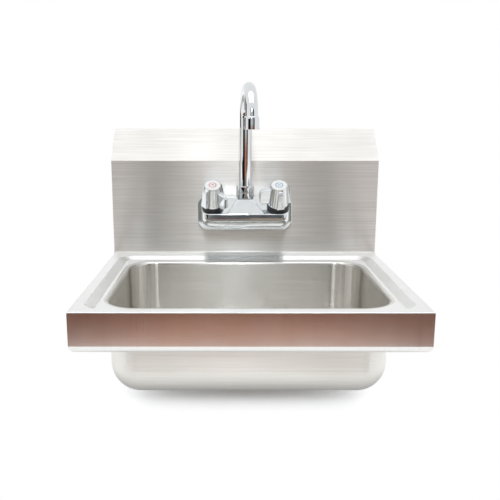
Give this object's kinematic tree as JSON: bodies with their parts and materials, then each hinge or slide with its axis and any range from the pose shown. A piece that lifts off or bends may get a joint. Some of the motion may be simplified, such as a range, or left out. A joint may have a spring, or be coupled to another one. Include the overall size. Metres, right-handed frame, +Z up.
{
  "type": "wall-mounted hand sink",
  "caption": "Wall-hung stainless hand sink with a rolled apron, drawn bowl and back splash; its gooseneck spout swings, its tap handles turn and its strainer lifts out.",
  "frame": {"origin": "middle of the wall bracket's back face, on the wall", "axes": "+X to the right as seen by a user, +Y back into the wall, +Z up"},
  "size_m": [0.432, 0.381, 0.4276],
  "materials": {
    "stainless_sheet": "brushed stainless steel, fine grain along the width",
    "chrome_plate": "bright chrome plate",
    "black_plastic": "moulded black plastic",
    "index_white": "white moulded plastic with a coloured ring",
    "rubber": "black rubber",
    "brass": "machined brass",
    "ceramic_disc": "lapped ceramic",
    "nylon": "natural nylon"
  },
  "bodies": {
    "sink": {"sink_top": "stainless_sheet", "sink_bowl": "stainless_sheet", "splash_panel": "stainless_sheet", "splash_end_left": "stainless_sheet", "splash_end_right": "stainless_sheet", "wall_bracket": "stainless_sheet", "rear_rail": "stainless_sheet", "drain_flange": "stainless_sheet", "tap_body": "chrome_plate", "spout_nut": "chrome_plate", "hot_collar": "black_plastic", "cold_collar": "black_plastic", "drain_gasket": "rubber", "tap_gasket": "rubber", "hot_seat_seal": "rubber", "cold_seat_seal": "rubber", "shank_washers": "brass", "shank_locknuts": "brass", "hot_inlet_shank": "brass", "cold_inlet_shank": "brass", "hot_cartridge": "brass", "cold_cartridge": "brass", "drain_locknut": "brass", "hot_fixed_disc": "ceramic_disc", "cold_fixed_disc": "ceramic_disc", "spout_slip_ring": "nylon", "drain_washer": "nylon"},
    "hot_handle_set": {"hot_handle": "chrome_plate", "hot_index": "index_white", "hot_handle_screw": "chrome_plate", "hot_stem": "brass", "hot_moving_disc": "ceramic_disc"},
    "cold_handle_set": {"cold_handle": "chrome_plate", "cold_index": "index_white", "cold_handle_screw": "chrome_plate", "cold_stem": "brass", "cold_moving_disc": "ceramic_disc"},
    "spout": {"spout_tube": "chrome_plate", "spout_ferrule": "brass", "spout_seal_rings": "rubber", "aerator_housing": "chrome_plate", "aerator_washer": "rubber", "aerator_screen": "stainless_sheet"},
    "basket": {"strainer_basket": "stainless_sheet"}
  },
  "joints": [
    {"name": "hot_handle_turn", "type": "hinge", "parent": "sink", "child": "hot_handle_set", "pos_m": [-0.0508, -0.0945, -0.0647], "axis": [0, -0.5299, 0.848], "range_deg": [0, 90]},
    {"name": "cold_handle_turn", "type": "hinge", "parent": "sink", "child": "cold_handle_set", "pos_m": [0.0508, -0.0945, -0.0647], "axis": [0, -0.5299, 0.848], "range_deg": [-90, 0]},
    {"name": "spout_swing", "type": "hinge", "parent": "sink", "child": "spout", "pos_m": [0, -0.086, 0], "axis": [0, 0, 1], "range_deg": [-94, 86]},
    {"name": "basket_lift", "type": "slide", "parent": "sink", "child": "basket", "axis": [0, 0, 1], "range_m": [0, 0.16]}
  ]
}
